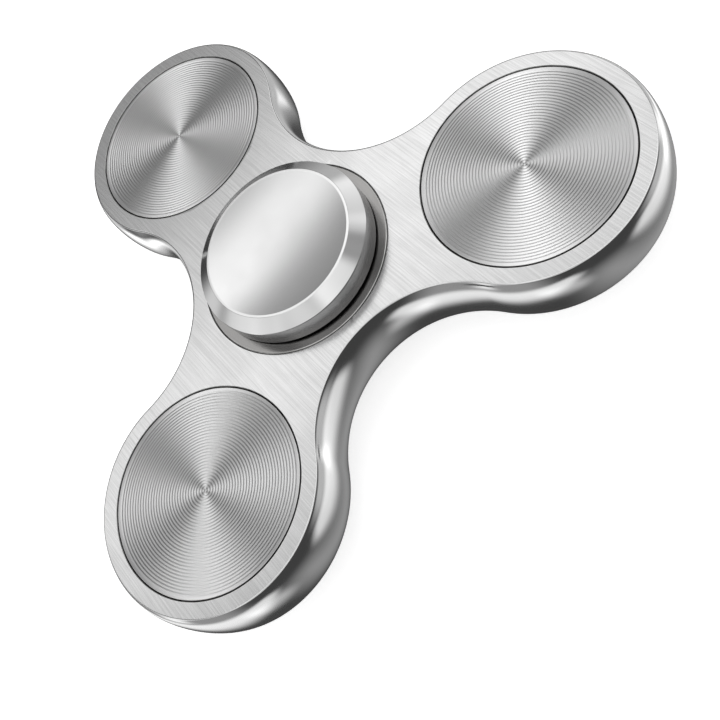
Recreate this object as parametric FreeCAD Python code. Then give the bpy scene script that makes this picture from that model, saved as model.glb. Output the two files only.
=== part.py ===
"""Three-lobed fidget spinner: a bearing-centred frame that turns between two finger buttons.

Millimetres, +Z up. The spin axis is Z and the origin is the middle of the bearing. The spinner
lies flat, its first lobe points along +X, and front and rear are mirror images across Z = 0.
"""
import FreeCAD, Part
import math
import os

# --- Bearing, a standard 608 deep groove bearing ---
BEARING_BORE_RADIUS = 4.0
BEARING_OUTER_RADIUS = 11.0
BEARING_WIDTH = 7.0
BALL_COUNT = 7
BALL_DIAMETER = 3.969
BALL_CLEARANCE = 0.03            # ball to raceway, along a radius of the bearing
GROOVE_OVERSIZE = 0.075          # raceway section radius beyond the ball's own radius
GROOVE_DEPTH = 0.56              # raceway depth below the shoulder of its ring
RING_CHAMFER = 0.25              # outer corners of both rings
SHIELD_THICKNESS = 0.3
SHIELD_RIM_WIDTH = 0.3           # turned-up rim that grips the outer ring
SHIELD_RIM_HEIGHT = 0.25
SHIELD_SEAT_DEPTH = 0.65         # seat in the outer ring, beyond its shoulder
SHIELD_LIP_CLEARANCE = 0.15      # shield to inner ring
CAGE_THICKNESS = 0.3
CAGE_BALL_CLEARANCE = 0.05
CAGE_RING_CLEARANCE = 0.55       # cage to the shoulders of both rings
CAGE_SHIELD_CLEARANCE = 0.15
RIVET_RADIUS = 0.35
RIVET_HEAD_RADIUS = 0.55
RIVET_HEAD_HEIGHT = 0.25

# --- Frame ---
LOBE_COUNT = 3
FRAME_THICKNESS = 7.0
BORE_WEB = 4.0                   # metal between the bearing bore and a lobe's disc seat
LOBE_RIM_WALL = 1.65             # face width between a disc seat and the lobe's edge
WAIST_WALL = 1.6                 # face width between the bearing bore and the outline, at the waist
SIDE_BULGE = 0.8                 # how far the rounded side stands out at half thickness
DISC_SEAT_RADIUS = 11.0

# --- Weights in the lobes ---
DISC_THICKNESS = 1.2
DISC_GAP = 0.1                   # dark line round each disc
DISC_EDGE_BREAK = 0.1
SEAT_LEDGE = 1.0                 # ledge that a disc sits on, round the core weight

# --- Finger buttons and the stud that joins them ---
BUTTON_RADIUS = 9.9
BUTTON_RISE = 3.6                # lip above the bearing's face
BUTTON_CHAMFER_HEIGHT = 1.0
BUTTON_CHAMFER_WIDTH = 1.45
BUTTON_LIP_WIDTH = 0.25          # flat ring that the spinner rests on
BUTTON_DISH_SAG = 0.6            # finger hollow, below the lip
BUTTON_UNDERSIDE_GAP = 0.3       # button to the bearing's outer ring
BUTTON_EDGE_BREAK = 0.12
BUTTON_SHOULDER_WIDTH = 1.5      # ring that clamps the inner ring, beyond its bore
BORE_SLIDE_FIT = 0.02            # button stub to the bearing's bore
STUB_END_GAP = 0.1               # each stub's end to the bearing's middle
STUD_RADIUS = 2.5
STUD_LENGTH = 9.0
STUD_CHAMFER = 0.4
STUD_HOLE_RUNOUT = 0.5           # empty depth beyond each end of the stud
HEX_SOCKET_FLATS = 2.5
HEX_SOCKET_DEPTH = 2.0

# --- Worked out from the sizes above ---
ball_radius = BALL_DIAMETER / 2
pitch_radius = (BEARING_BORE_RADIUS + BEARING_OUTER_RADIUS) / 2
half_width = BEARING_WIDTH / 2
inner_raceway = pitch_radius - ball_radius - BALL_CLEARANCE
outer_raceway = pitch_radius + ball_radius + BALL_CLEARANCE
inner_shoulder = inner_raceway + GROOVE_DEPTH
outer_shoulder = outer_raceway - GROOVE_DEPTH
shield_seat_radius = outer_shoulder + SHIELD_SEAT_DEPTH
cage_pocket_radius = ball_radius + CAGE_BALL_CLEARANCE
cage_top = cage_pocket_radius + CAGE_THICKNESS
shield_bottom = cage_top + CAGE_SHIELD_CLEARANCE

half_frame = FRAME_THICKNESS / 2
arm_length = BEARING_OUTER_RADIUS + BORE_WEB + DISC_SEAT_RADIUS
lobe_edge_radius = DISC_SEAT_RADIUS + LOBE_RIM_WALL
waist_distance = BEARING_OUTER_RADIUS + WAIST_WALL
lobe_step = 360.0 / LOBE_COUNT

core_radius = DISC_SEAT_RADIUS - SEAT_LEDGE
half_core = half_frame - DISC_THICKNESS
disc_radius = DISC_SEAT_RADIUS - DISC_GAP

lip_height = half_width + BUTTON_RISE
lip_outer_radius = BUTTON_RADIUS - BUTTON_CHAMFER_WIDTH
dish_radius = lip_outer_radius - BUTTON_LIP_WIDTH
button_shoulder_radius = BEARING_BORE_RADIUS + BUTTON_SHOULDER_WIDTH
stub_radius = BEARING_BORE_RADIUS - BORE_SLIDE_FIT
stud_hole_end = STUD_LENGTH / 2 + STUD_HOLE_RUNOUT

Z_AXIS = FreeCAD.Vector(0, 0, 1)
ORIGIN = FreeCAD.Vector(0, 0, 0)


def polar(radius, degrees, z=0.0):
    """Point at a radius and an angle about the spin axis."""
    turn = math.radians(degrees)
    return FreeCAD.Vector(radius * math.cos(turn), radius * math.sin(turn), z)


def revolved(*edges):
    """Solid of revolution about the Z axis from the edges of a closed section in the XZ plane."""
    face = Part.Face(Part.Wire(list(edges)))
    return face.revolve(ORIGIN, Z_AXIS, 360)


def section_lines(*corners):
    """Straight edges through (radius, height) corners, in order."""
    points = [FreeCAD.Vector(radius, 0, height) for radius, height in corners]
    return [Part.makeLine(start, end) for start, end in zip(points, points[1:])]


def turned(*corners):
    """Solid of revolution from the (radius, height) corners of a closed section."""
    return revolved(*section_lines(*corners, corners[0]))


def tube(inner, outer, low, high):
    """Plain ring about the Z axis."""
    return turned((inner, low), (outer, low), (outer, high), (inner, high))


def rod(radius, low, high):
    """Plain cylinder about the Z axis."""
    return Part.makeCylinder(radius, high - low, FreeCAD.Vector(0, 0, low))


def mirrored(shape):
    """The rear twin of a front piece."""
    return shape.mirror(ORIGIN, Z_AXIS)


def at_ball(shape, index):
    """A shape made round the first ball's place, turned to another ball's place."""
    copy = shape.copy()
    copy.rotate(ORIGIN, Z_AXIS, 360.0 * index / BALL_COUNT)
    return copy


def at_lobe(shape, index):
    """A shape made about the Z axis, moved out to a lobe."""
    copy = shape.copy()
    copy.translate(polar(arm_length, lobe_step * index))
    return copy


# --- Frame ---

def waist_arc():
    """Radius and centre distance of the hollow arc that runs tangent from lobe to lobe.

    The arc's centre lies on the ray between two lobes, outside the outline.
    """
    half_step = math.radians(lobe_step / 2)
    reach = arm_length * math.cos(half_step)
    gain = arm_length ** 2 + waist_distance ** 2 - 2 * waist_distance * reach - lobe_edge_radius ** 2
    radius = gain / (2 * (lobe_edge_radius + reach - waist_distance))
    return radius, waist_distance + radius


def side_section(seam, outward):
    """Half-ellipse that rounds the side, from the top face down to the bottom face."""
    top = seam + Z_AXIS * half_frame
    crest = seam + outward * SIDE_BULGE
    return Part.Arc(Part.Ellipse(top, crest, seam), 0, math.pi).toShape()


def side_faces():
    """Rounded side all the way round: one face for each lobe and one for each waist."""
    waist_radius, waist_centre_distance = waist_arc()
    faces = []
    for index in range(LOBE_COUNT):
        direction = lobe_step * index
        lobe_centre = polar(arm_length, direction)
        waist_centre = polar(waist_centre_distance, direction + lobe_step / 2)
        outward = (waist_centre - lobe_centre).normalize()
        seam = lobe_centre + outward * lobe_edge_radius
        seam_angle = math.degrees(math.atan2(outward.y, outward.x)) - direction
        section = side_section(seam, outward)
        lobe_sweep = 2 * (seam_angle % 360)
        faces.append(section.revolve(lobe_centre, Z_AXIS, -lobe_sweep))
        faces.append(section.revolve(waist_centre, Z_AXIS, lobe_step - lobe_sweep))
    return faces


def flat_face(sides, height):
    """Flat face of the blank, bounded by the side faces' edges at one height."""
    rim = [edge for face in sides for edge in face.Edges
           if all(abs(vertex.Z - height) < 1e-6 for vertex in edge.Vertexes)]
    return Part.Face(Part.Wire(Part.__sortEdges__(rim)))


def frame_blank():
    """Solid three-lobed plate with rounded sides and no bores."""
    sides = side_faces()
    shell = Part.makeShell(sides + [flat_face(sides, half_frame), flat_face(sides, -half_frame)])
    shell.sewShape()
    blank = Part.makeSolid(shell)
    if blank.Volume < 0:
        blank.reverse()
    return blank


def frame():
    """Frame: the blank with its bearing bore, and a stepped bore in each lobe."""
    bores = [rod(BEARING_OUTER_RADIUS, -half_frame, half_frame)]
    seat = rod(DISC_SEAT_RADIUS, half_core, half_frame)
    for index in range(LOBE_COUNT):
        bores.append(at_lobe(rod(core_radius, -half_frame, half_frame), index))
        bores.append(at_lobe(seat, index))
        bores.append(at_lobe(mirrored(seat), index))
    return frame_blank().cut(bores)


# --- Weights in the lobes ---

def core_weight():
    """Steel slug that fills a lobe's bore between its two discs."""
    return rod(core_radius, -half_core, half_core)


def weight_disc():
    """Front disc of a lobe, flush with the frame's face."""
    return turned((0, half_core), (disc_radius, half_core),
                  (disc_radius, half_frame - DISC_EDGE_BREAK),
                  (disc_radius - DISC_EDGE_BREAK, half_frame), (0, half_frame))


# --- Bearing ---

def raceway(bottom_radius, side):
    """Ring-shaped cutter for a raceway; side is +1 for the inner ring, -1 for the outer ring."""
    section_radius = ball_radius + GROOVE_OVERSIZE
    return Part.makeTorus(bottom_radius + side * section_radius, section_radius)


def inner_race():
    """Inner ring, clamped between the two buttons."""
    chamfered = BEARING_BORE_RADIUS + RING_CHAMFER
    ring = turned((BEARING_BORE_RADIUS, RING_CHAMFER - half_width), (chamfered, -half_width),
                  (inner_shoulder, -half_width), (inner_shoulder, half_width),
                  (chamfered, half_width), (BEARING_BORE_RADIUS, half_width - RING_CHAMFER))
    return ring.cut(raceway(inner_raceway, 1))


def outer_race():
    """Outer ring, pressed into the frame, with a seat for a shield at each side."""
    chamfered = BEARING_OUTER_RADIUS - RING_CHAMFER
    ring = turned((outer_shoulder, -half_width), (chamfered, -half_width),
                  (BEARING_OUTER_RADIUS, RING_CHAMFER - half_width),
                  (BEARING_OUTER_RADIUS, half_width - RING_CHAMFER),
                  (chamfered, half_width), (outer_shoulder, half_width))
    seat = tube(inner_shoulder, shield_seat_radius, shield_bottom, half_width)
    return ring.cut([raceway(outer_raceway, -1), seat, mirrored(seat)])


def shield():
    """Front shield, a pressed plate with a turned-up rim."""
    inner = inner_shoulder + SHIELD_LIP_CLEARANCE
    plate_top = shield_bottom + SHIELD_THICKNESS
    rim_top = plate_top + SHIELD_RIM_HEIGHT
    rim_inner = shield_seat_radius - SHIELD_RIM_WIDTH
    return turned((inner, shield_bottom), (shield_seat_radius, shield_bottom),
                  (shield_seat_radius, rim_top), (rim_inner, rim_top),
                  (rim_inner, plate_top), (inner, plate_top))


def ball():
    """The first ball, on the +X side."""
    return Part.makeSphere(ball_radius, polar(pitch_radius, 0))


def between_balls(radius, low, high):
    """Cylinder on the pitch circle, half-way from the first ball to the second."""
    place = polar(pitch_radius, 180.0 / BALL_COUNT, low)
    return Part.makeCylinder(radius, high - low, place)


def cage_half():
    """Front half of the pressed cage: a ring that swells into a pocket over each ball."""
    inner = inner_shoulder + CAGE_RING_CLEARANCE
    outer = outer_shoulder - CAGE_RING_CLEARANCE
    skins = [at_ball(Part.makeSphere(cage_top, polar(pitch_radius, 0)), i) for i in range(BALL_COUNT)]
    pockets = [at_ball(Part.makeSphere(cage_pocket_radius, polar(pitch_radius, 0)), i)
               for i in range(BALL_COUNT)]
    rivet_holes = [at_ball(between_balls(RIVET_RADIUS, 0, CAGE_THICKNESS), i) for i in range(BALL_COUNT)]
    swells = tube(inner, outer, 0, cage_top).common(skins[0].fuse(skins[1:]))
    ring = tube(inner, outer, 0, CAGE_THICKNESS)
    return ring.fuse(swells).cut(pockets + rivet_holes)


def cage_rivets():
    """Rivets that hold the two halves of the cage together, one between each two balls."""
    head_top = CAGE_THICKNESS + RIVET_HEAD_HEIGHT
    shank = between_balls(RIVET_RADIUS, -head_top, head_top)
    head = between_balls(RIVET_HEAD_RADIUS, CAGE_THICKNESS, head_top)
    rivet = shank.fuse([head, mirrored(head)]).removeSplitter()
    return Part.makeCompound([at_ball(rivet, i) for i in range(BALL_COUNT)])


# --- Buttons ---

def button_section():
    """Closed section of the front button: stub, shoulder, wall, chamfer, lip and finger hollow."""
    underside = half_width + BUTTON_UNDERSIDE_GAP
    wall_top = lip_height - BUTTON_CHAMFER_HEIGHT
    dish_bottom = lip_height - BUTTON_DISH_SAG
    dish_bulge = dish_radius ** 2 / (2 * BUTTON_DISH_SAG) + BUTTON_DISH_SAG / 2
    middle_angle = math.asin(dish_radius / dish_bulge) / 2
    dish_middle = FreeCAD.Vector(dish_bulge * math.sin(middle_angle), 0,
                                 dish_bottom + dish_bulge * (1 - math.cos(middle_angle)))
    dish = Part.Arc(FreeCAD.Vector(dish_radius, 0, lip_height), dish_middle,
                    FreeCAD.Vector(0, 0, dish_bottom)).toShape()
    outside = section_lines((0, dish_bottom), (0, stud_hole_end), (STUD_RADIUS, stud_hole_end),
                            (STUD_RADIUS, STUB_END_GAP), (stub_radius, STUB_END_GAP),
                            (stub_radius, half_width), (button_shoulder_radius, half_width),
                            (button_shoulder_radius, underside),
                            (BUTTON_RADIUS - BUTTON_EDGE_BREAK, underside),
                            (BUTTON_RADIUS, underside + BUTTON_EDGE_BREAK),
                            (BUTTON_RADIUS, wall_top), (lip_outer_radius, lip_height),
                            (dish_radius, lip_height))
    return outside + [dish]


def button():
    """Front finger button."""
    return revolved(*button_section())


def joining_stud():
    """Threaded stud, drawn plain, with a hexagon socket at its front end."""
    end = STUD_LENGTH / 2
    stud = turned((0, -end), (STUD_RADIUS - STUD_CHAMFER, -end), (STUD_RADIUS, STUD_CHAMFER - end),
                  (STUD_RADIUS, end - STUD_CHAMFER), (STUD_RADIUS - STUD_CHAMFER, end), (0, end))
    corner_radius = HEX_SOCKET_FLATS / 2 / math.cos(math.radians(30))
    corners = [polar(corner_radius, 60 * i, end - HEX_SOCKET_DEPTH) for i in range(7)]
    socket = Part.Face(Part.makePolygon(corners)).extrude(Z_AXIS * HEX_SOCKET_DEPTH)
    return stud.cut(socket)


def all_nodes():
    """Every sub-part by the name of its node."""
    nodes = {
        "front_button": button(),
        "rear_button": mirrored(button()),
        "joining_stud": joining_stud(),
        "bearing_inner_race": inner_race(),
        "bearing_outer_race": outer_race(),
        "front_shield": shield(),
        "rear_shield": mirrored(shield()),
        "front_cage_half": cage_half(),
        "rear_cage_half": mirrored(cage_half()),
        "cage_rivets": cage_rivets(),
        "frame": frame(),
    }
    for index in range(BALL_COUNT):
        nodes[f"bearing_ball_{index + 1}"] = at_ball(ball(), index)
    for index in range(LOBE_COUNT):
        lobe = f"lobe_{index + 1}"
        nodes[f"{lobe}_core_weight"] = at_lobe(core_weight(), index)
        nodes[f"{lobe}_front_disc"] = at_lobe(weight_disc(), index)
        nodes[f"{lobe}_rear_disc"] = at_lobe(mirrored(weight_disc()), index)
    return nodes


def main():
    os.makedirs("parts", exist_ok=True)
    for name, shape in all_nodes().items():
        print(f"{name}: solids {len(shape.Solids)}, volume {shape.Volume:.2f}, valid {shape.isValid()}")
        shape.exportStep(os.path.join("parts", f"{name}.step"))


main()
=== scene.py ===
"""Looks of a three-lobed metal fidget spinner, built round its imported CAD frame.

Sizes are in millimetres in the object's own frame: +Z is the spin axis, the origin is the middle of
the bearing and the first lobe points along +X. Meshes are scaled to metres when they are made.
"""
import logging
import math
from dataclasses import dataclass, field, replace
from enum import Enum

import bmesh
import bpy
import numpy as np
from mathutils import Matrix, Vector


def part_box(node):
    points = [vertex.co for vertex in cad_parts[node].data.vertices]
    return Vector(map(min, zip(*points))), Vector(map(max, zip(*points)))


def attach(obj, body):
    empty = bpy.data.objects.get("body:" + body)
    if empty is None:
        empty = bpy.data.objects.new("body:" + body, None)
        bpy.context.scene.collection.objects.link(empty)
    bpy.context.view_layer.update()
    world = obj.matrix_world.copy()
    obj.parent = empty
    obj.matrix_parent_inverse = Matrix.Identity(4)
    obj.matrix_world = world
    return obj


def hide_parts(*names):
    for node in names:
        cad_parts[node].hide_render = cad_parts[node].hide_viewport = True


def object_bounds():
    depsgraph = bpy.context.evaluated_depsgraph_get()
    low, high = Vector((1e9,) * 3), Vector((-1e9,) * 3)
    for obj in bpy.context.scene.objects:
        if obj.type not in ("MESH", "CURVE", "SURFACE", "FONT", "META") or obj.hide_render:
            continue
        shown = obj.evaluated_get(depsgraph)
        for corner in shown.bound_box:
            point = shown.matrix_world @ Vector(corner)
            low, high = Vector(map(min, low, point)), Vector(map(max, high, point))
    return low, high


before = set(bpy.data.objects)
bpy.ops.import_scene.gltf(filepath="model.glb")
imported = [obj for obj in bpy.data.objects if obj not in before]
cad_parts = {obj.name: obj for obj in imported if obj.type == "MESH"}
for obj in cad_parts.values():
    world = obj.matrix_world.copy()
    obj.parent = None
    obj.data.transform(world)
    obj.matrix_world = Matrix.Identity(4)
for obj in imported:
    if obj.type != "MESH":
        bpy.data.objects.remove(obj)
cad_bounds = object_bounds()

log = logging.getLogger("spinner")

Socket = bpy.types.NodeSocket
Group = bpy.types.NodeTree
Material = bpy.types.Material
Corners = list[tuple[float, float, float]]

MM = 0.001
WELD_DISTANCE = 1e-7
WIDEST_GUARD = 0.05
BALL_COUNT = 7
BALL_STEP = 2 * math.pi / BALL_COUNT
LOBE_COUNT = 3
LOBE_STEP = 2 * math.pi / LOBE_COUNT
HALF_STEP = LOBE_STEP / 2
BRUSH_DIRECTION = math.radians(123.5)
WHITE = (1.0, 1.0, 1.0, 1.0)
BLACK = (0.0, 0.0, 0.0, 1.0)
RUBBED_METAL = (0.80, 0.80, 0.79, 1.0)


class Side(Enum):
    """Which side of the spinner a piece is on; its value is the sign of Z."""
    FRONT = 1
    REAR = -1

    def named(self, part: str) -> str:
        """Name of this side's CAD node of a part."""
        return f"{self.name.lower()}_{part}"


class Grain(Enum):
    """How a finish's fine lines run; its value is the name of the UV map that they follow."""
    STRAIGHT = "brush_lines"
    TURNED = "turning_lines"
    NONE = ""


# --- Sizes read from the frame ---

@dataclass(frozen=True)
class Extent:
    """Where a CAD node is: centre and radius in plan, lowest and highest point, and far corner."""
    centre: np.ndarray
    radius: float
    low: float
    high: float
    far: np.ndarray

    @classmethod
    def of(cls, node: str) -> "Extent":
        """Reads a node's box from the frame.

        Args:
            node: name of a CAD node.

        Returns:
            The node's extent in millimetres.
        """
        lowest, highest = (np.array(corner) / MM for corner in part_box(node))
        centre = (lowest + highest) / 2
        radius = float((highest - lowest)[:2].max()) / 2
        return cls(centre[:2], radius, float(lowest[2]), float(highest[2]), highest)


# --- Surfaces ---

def both_sides(front: Corners) -> Corners:
    """Corners of a section's front half, followed by the same ones at the rear."""
    return front + [(radius, -height, rounding) for radius, height, rounding in reversed(front)]


def directions(angles: np.ndarray | float) -> np.ndarray:
    """Unit vectors at the given angles: (cosine, sine)."""
    return np.stack([np.cos(angles), np.sin(angles)], axis=-1)


def full_turn(segments: int) -> np.ndarray:
    """Angles of a closed turn, the last equal to the first."""
    return np.append(np.linspace(0, 2 * math.pi, segments + 1)[:-1], 0.0)


@dataclass
class Sheet:
    """A grid of points with its UV coordinates, the number of its finish and a mask of its worn edges.

    The grid's first axis runs along the section and its second axis runs round the piece.
    """
    points: np.ndarray
    uv: np.ndarray
    finish: int = 0
    edge: np.ndarray | None = None

    def edge_mask(self) -> np.ndarray:
        """The edge mask, or zeros where the sheet has none."""
        return np.zeros(self.points.shape[:2]) if self.edge is None else self.edge

    def quads(self) -> np.ndarray:
        """Numbers the corners of the grid's quads.

        Returns:
            One row of four corner numbers for each quad.
        """
        rows, columns = self.points.shape[:2]
        first = (np.arange(rows - 1)[:, None] * columns + np.arange(columns - 1)).reshape(-1)
        return np.stack([first, first + 1, first + columns + 1, first + columns], axis=1)


def build_piece(name: str, sheets: list[Sheet], finishes: list[Material], uv_name: str) -> bpy.types.Object:
    """Joins sheets into one closed, smooth-shaded mesh object.

    The sheets' shared borders are welded, which also closes the seams and the poles.

    Args:
        name: name of the new object.
        sheets: the grids that make up its skin, in millimetres.
        finishes: the materials that the sheets' numbers refer to.
        uv_name: name of the UV map that the grain follows.

    Returns:
        The new object, at the origin.
    """
    offsets = np.cumsum([0] + [sheet.points[..., 0].size for sheet in sheets[:-1]])
    points = np.concatenate([sheet.points.reshape(-1, 3) for sheet in sheets]) * MM
    corners = np.concatenate([sheet.quads() + offset for sheet, offset in zip(sheets, offsets)])
    uv = np.concatenate([sheet.uv.reshape(-1, 2) for sheet in sheets])
    edge = np.concatenate([sheet.edge_mask().reshape(-1) for sheet in sheets])
    finish = np.concatenate([np.full(len(sheet.quads()), sheet.finish) for sheet in sheets])

    mesh = bpy.data.meshes.new(name)
    mesh.vertices.add(len(points))
    mesh.vertices.foreach_set("co", points.reshape(-1))
    mesh.loops.add(corners.size)
    mesh.loops.foreach_set("vertex_index", corners.reshape(-1))
    mesh.polygons.add(len(corners))
    mesh.polygons.foreach_set("loop_start", np.arange(0, corners.size, 4))
    mesh.polygons.foreach_set("material_index", finish)
    mesh.polygons.foreach_set("use_smooth", np.ones(len(corners), bool))
    mesh.uv_layers.new(name=uv_name).data.foreach_set("uv", uv[corners.reshape(-1)].reshape(-1))
    mesh.attributes.new("edge", "FLOAT", "POINT").data.foreach_set("value", edge)
    mesh.update(calc_edges=True)

    shell = bmesh.new()
    shell.from_mesh(mesh)
    bmesh.ops.remove_doubles(shell, verts=shell.verts, dist=WELD_DISTANCE)
    bmesh.ops.recalc_face_normals(shell, faces=shell.faces)
    shell.to_mesh(mesh)
    shell.free()
    for finish_material in finishes:
        mesh.materials.append(finish_material)
    piece = bpy.data.objects.new(name, mesh)
    bpy.context.scene.collection.objects.link(piece)
    return piece


def fit_piece(node: str, suffix: str, sheets: list[Sheet], finishes: list[Material],
              body: str, grain: Grain = Grain.TURNED) -> None:
    """Builds a piece and lets it ride on its body, in place of the CAD node that it stands for.

    Args:
        node: the CAD node that it replaces.
        suffix: what its name adds to the node's.
        sheets: the grids that make up its skin.
        finishes: the materials that the sheets' numbers refer to.
        body: the CAD body that it moves with.
        grain: how its fine lines run.
    """
    piece = build_piece(f"{node}_{suffix}", sheets, finishes, grain.value)
    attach(piece, body)
    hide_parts(node)
    log.info("%s: %d faces on %s", piece.name, len(piece.data.polygons), body)


@dataclass(frozen=True)
class Section:
    """A piece's half section: (radius, height) points in order, with a mask of its rounded corners."""
    points: np.ndarray
    edge: np.ndarray

    @classmethod
    def sharp(cls, points: np.ndarray) -> "Section":
        """A section with no rounded corners."""
        return cls(points, np.zeros(len(points)))

    @classmethod
    def rounded(cls, corners: Corners, steps: int = 5) -> "Section":
        """Rounds the corners of a polyline with tangent arcs.

        Each arc's centre is on the corner's bisector at radius / sin(half the corner's angle), and a
        point is added just before and after each arc, so that the flats beside it stay flat.

        Args:
            corners: radius, height and rounding at each point, with a rounding of 0 to keep it sharp.
            steps: arc segments at each rounded corner.

        Returns:
            The rounded section.
        """
        line, roundings = np.split(np.array(corners, float), [2], axis=1)
        points, edge = [line[:1]], [np.zeros(1)]
        for index in range(1, len(line) - 1):
            corner, radius = line[index], float(roundings[index, 0])
            if radius <= 0:
                points.append(corner[None])
                edge.append(np.zeros(1))
                continue
            back, ahead = line[index - 1] - corner, line[index + 1] - corner
            back /= np.linalg.norm(back)
            ahead /= np.linalg.norm(ahead)
            half_angle = math.acos(float(np.clip(back @ ahead, -1, 1))) / 2
            bisector = (back + ahead) / np.linalg.norm(back + ahead)
            centre = corner + bisector * radius / math.sin(half_angle)
            reach = radius / math.tan(half_angle)
            start, end = corner + back * reach - centre, corner + ahead * reach - centre
            turn = math.pi - 2 * half_angle
            share = np.linspace(0, 1, steps + 1)[:, None]
            swing = np.sin((1 - share) * turn) * start + np.sin(share * turn) * end
            arc = centre + swing / math.sin(turn)
            guard = min(radius, WIDEST_GUARD) / 2
            points += [(arc[0] + back * guard)[None], arc, (arc[-1] + ahead * guard)[None]]
            edge += [np.zeros(1), np.ones(steps + 1), np.zeros(1)]
        points.append(line[-1:])
        edge.append(np.zeros(1))
        return cls(np.concatenate(points), np.concatenate(edge))

    def then(self, after: "Section") -> "Section":
        """This section continued through another one."""
        return Section(np.concatenate([self.points, after.points]), np.concatenate([self.edge, after.edge]))

    def part(self, chosen: slice) -> "Section":
        """A run of this section's points."""
        return Section(self.points[chosen], self.edge[chosen])

    def mirrored(self, side: Side) -> "Section":
        """This section for the given side: heights take the side's sign."""
        return Section(self.points * np.array([1, side.value]), self.edge)


def round_grid(radius: np.ndarray, angles: np.ndarray, height: np.ndarray,
               centre: np.ndarray = np.zeros(2)) -> np.ndarray:
    """Points (centre + radius * direction(angle), height), with a row for each radius."""
    plan = centre + radius[..., None] * directions(angles)
    return np.concatenate([plan, np.broadcast_to(height, plan.shape[:2])[..., None]], axis=-1)


def turned_sheet(section: Section, angles: np.ndarray, centre: np.ndarray = np.zeros(2),
                 finish: int = 0) -> Sheet:
    """Surface of revolution: a point is (centre + radius * direction(angle), height).

    U is the distance along the section, so that the grain's lines run round the axis, and V is the
    share of the turn.

    Args:
        section: the half section to turn.
        angles: angles of the columns, in radians.
        centre: where the axis stands in plan.
        finish: number of the finish.

    Returns:
        The turned sheet.
    """
    radius, height = section.points[:, :1], section.points[:, 1:]
    flat = np.zeros((1, len(angles)))
    steps = np.linalg.norm(np.diff(section.points, axis=0, prepend=section.points[:1]), axis=1)
    share = np.unwrap(angles) / (2 * math.pi) + 0 * radius
    return Sheet(round_grid(radius, angles, height, centre),
                 np.stack([np.cumsum(steps)[:, None] + flat, share], axis=-1), finish,
                 section.edge[:, None] + flat)


# --- Shader building blocks ---

class NodeBench:
    """Short way to place and join nodes in one tree."""

    def __init__(self, tree: Group) -> None:
        """Starts with an empty tree."""
        self.tree = tree
        tree.nodes.clear()

    def add(self, kind: str, feeds: dict[str | int, object] | None = None,
            **settings: object) -> bpy.types.Node:
        """Adds a node, sets its properties and feeds its inputs.

        Args:
            kind: the node's class name, without the leading ShaderNode.
            feeds: a socket to link or a value to set, by the input's name or number.
            **settings: properties by name.

        Returns:
            The new node.
        """
        node = self.tree.nodes.new(kind if kind.startswith("Node") else f"ShaderNode{kind}")
        for key, value in settings.items():
            setattr(node, key, value)
        for key, value in (feeds or {}).items():
            if isinstance(value, Socket):
                self.tree.links.new(value, node.inputs[key])
            else:
                node.inputs[key].default_value = value
        return node

    def math(self, operation: str, *values: object, clamp: bool = False) -> Socket:
        """Adds a Math node of sockets or numbers and returns its result."""
        return self.add("Math", dict(enumerate(values)), operation=operation, use_clamp=clamp).outputs[0]

    def map_range(self, value: Socket, span: tuple[float, float],
                  result: tuple[float, float] = (0.0, 1.0), smooth: bool = False) -> Socket:
        """Adds a clamped Map Range node.

        Args:
            value: the mask to map.
            span: the values at the ends of the range.
            result: what they become.
            smooth: whether to ease both ends.

        Returns:
            The result's socket.
        """
        feeds = {"Value": value, "From Min": span[0], "From Max": span[1],
                 "To Min": result[0], "To Max": result[1]}
        node = self.add("MapRange", feeds, interpolation_type="SMOOTHSTEP" if smooth else "LINEAR")
        return node.outputs["Result"]

    def noise(self, place: Socket, dimensions: str = "3D",
              **feeds: object) -> Socket:
        """Adds a Noise Texture at a place and returns its mask."""
        return self.add("TexNoise", {"Vector": place, **feeds}, noise_dimensions=dimensions).outputs["Fac"]

    def put_out(self, mask: Socket) -> Group:
        """Sends a mask out of a group and returns the group."""
        self.add("NodeGroupOutput", {"Mask": mask})
        return self.tree


def shader_group(name: str, vectors: list[str],
                 floats: dict[str, float]) -> tuple[NodeBench, bpy.types.NodeOutputs]:
    """Starts a shader node group that puts out one mask.

    Args:
        name: name of the group.
        vectors: names of its vector inputs.
        floats: default values of its number inputs, by name.

    Returns:
        A bench for the group's tree, and the sockets of its inputs.
    """
    tree = bpy.data.node_groups.new(name, "ShaderNodeTree")
    for socket in vectors:
        tree.interface.new_socket(socket, in_out="INPUT", socket_type="NodeSocketVector")
    for socket, value in floats.items():
        made = tree.interface.new_socket(socket, in_out="INPUT", socket_type="NodeSocketFloat")
        made.default_value = value
    tree.interface.new_socket("Mask", in_out="OUTPUT", socket_type="NodeSocketFloat")
    bench = NodeBench(tree)
    return bench, bench.add("NodeGroupInput").outputs


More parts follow.
